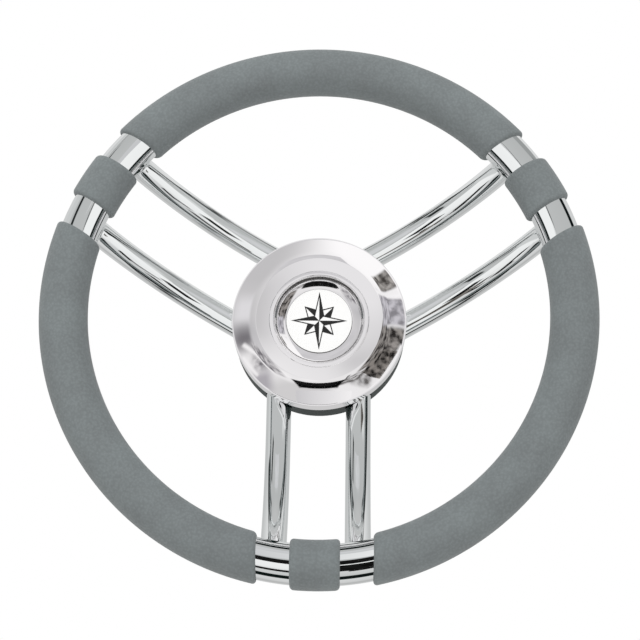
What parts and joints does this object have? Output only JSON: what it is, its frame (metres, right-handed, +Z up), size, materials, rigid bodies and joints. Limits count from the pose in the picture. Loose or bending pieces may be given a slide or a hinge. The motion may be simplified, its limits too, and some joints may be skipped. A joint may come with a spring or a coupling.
{
  "type": "boat steering wheel",
  "caption": "Dished stainless boat steering wheel with paired tube spokes, padded rim grips and a round polished cap, for a tapered keyed helm shaft.",
  "frame": {"origin": "centre of the shaft taper's wide end, in the rear face of the hub boss", "axes": "+Y along the shaft towards the helm, the face looks along -Y, +Z up with one pair of spokes pointing down, +X to the right as seen by the helmsman facing the wheel"},
  "size_m": [0.35, 0.0992, 0.35],
  "materials": {
    "polished_stainless": "mirror-polished stainless steel",
    "plain_stainless": "as turned stainless steel",
    "screw_stainless": "plain stainless steel",
    "grip_polyurethane": "matte grey moulded polyurethane with a fine grain",
    "cover_plastic": "satin black moulding",
    "white_enamel": "gloss white enamel",
    "dark_enamel": "gloss black enamel",
    "seal_rubber": "matte black nitrile"
  },
  "bodies": {
    "root": {"rim_tube": "polished_stainless", "hub_boss": "plain_stainless", "hub_plate": "plain_stainless", "front_ring": "plain_stainless", "rear_cover": "cover_plastic", "cover_screws": "screw_stainless", "cap_shell": "polished_stainless", "emblem_disc": "white_enamel", "compass_rose": "dark_enamel", "cap_oring": "seal_rubber", "grip_top": "grip_polyurethane", "grip_lower_left": "grip_polyurethane", "grip_lower_right": "grip_polyurethane", "sleeve_left": "grip_polyurethane", "sleeve_right": "grip_polyurethane", "sleeve_bottom": "grip_polyurethane", "spoke_right_lower": "polished_stainless", "spoke_right_upper": "polished_stainless", "spoke_left_lower": "polished_stainless", "spoke_left_upper": "polished_stainless", "spoke_bottom_left": "polished_stainless", "spoke_bottom_right": "polished_stainless"}
  },
  "joints": []
}
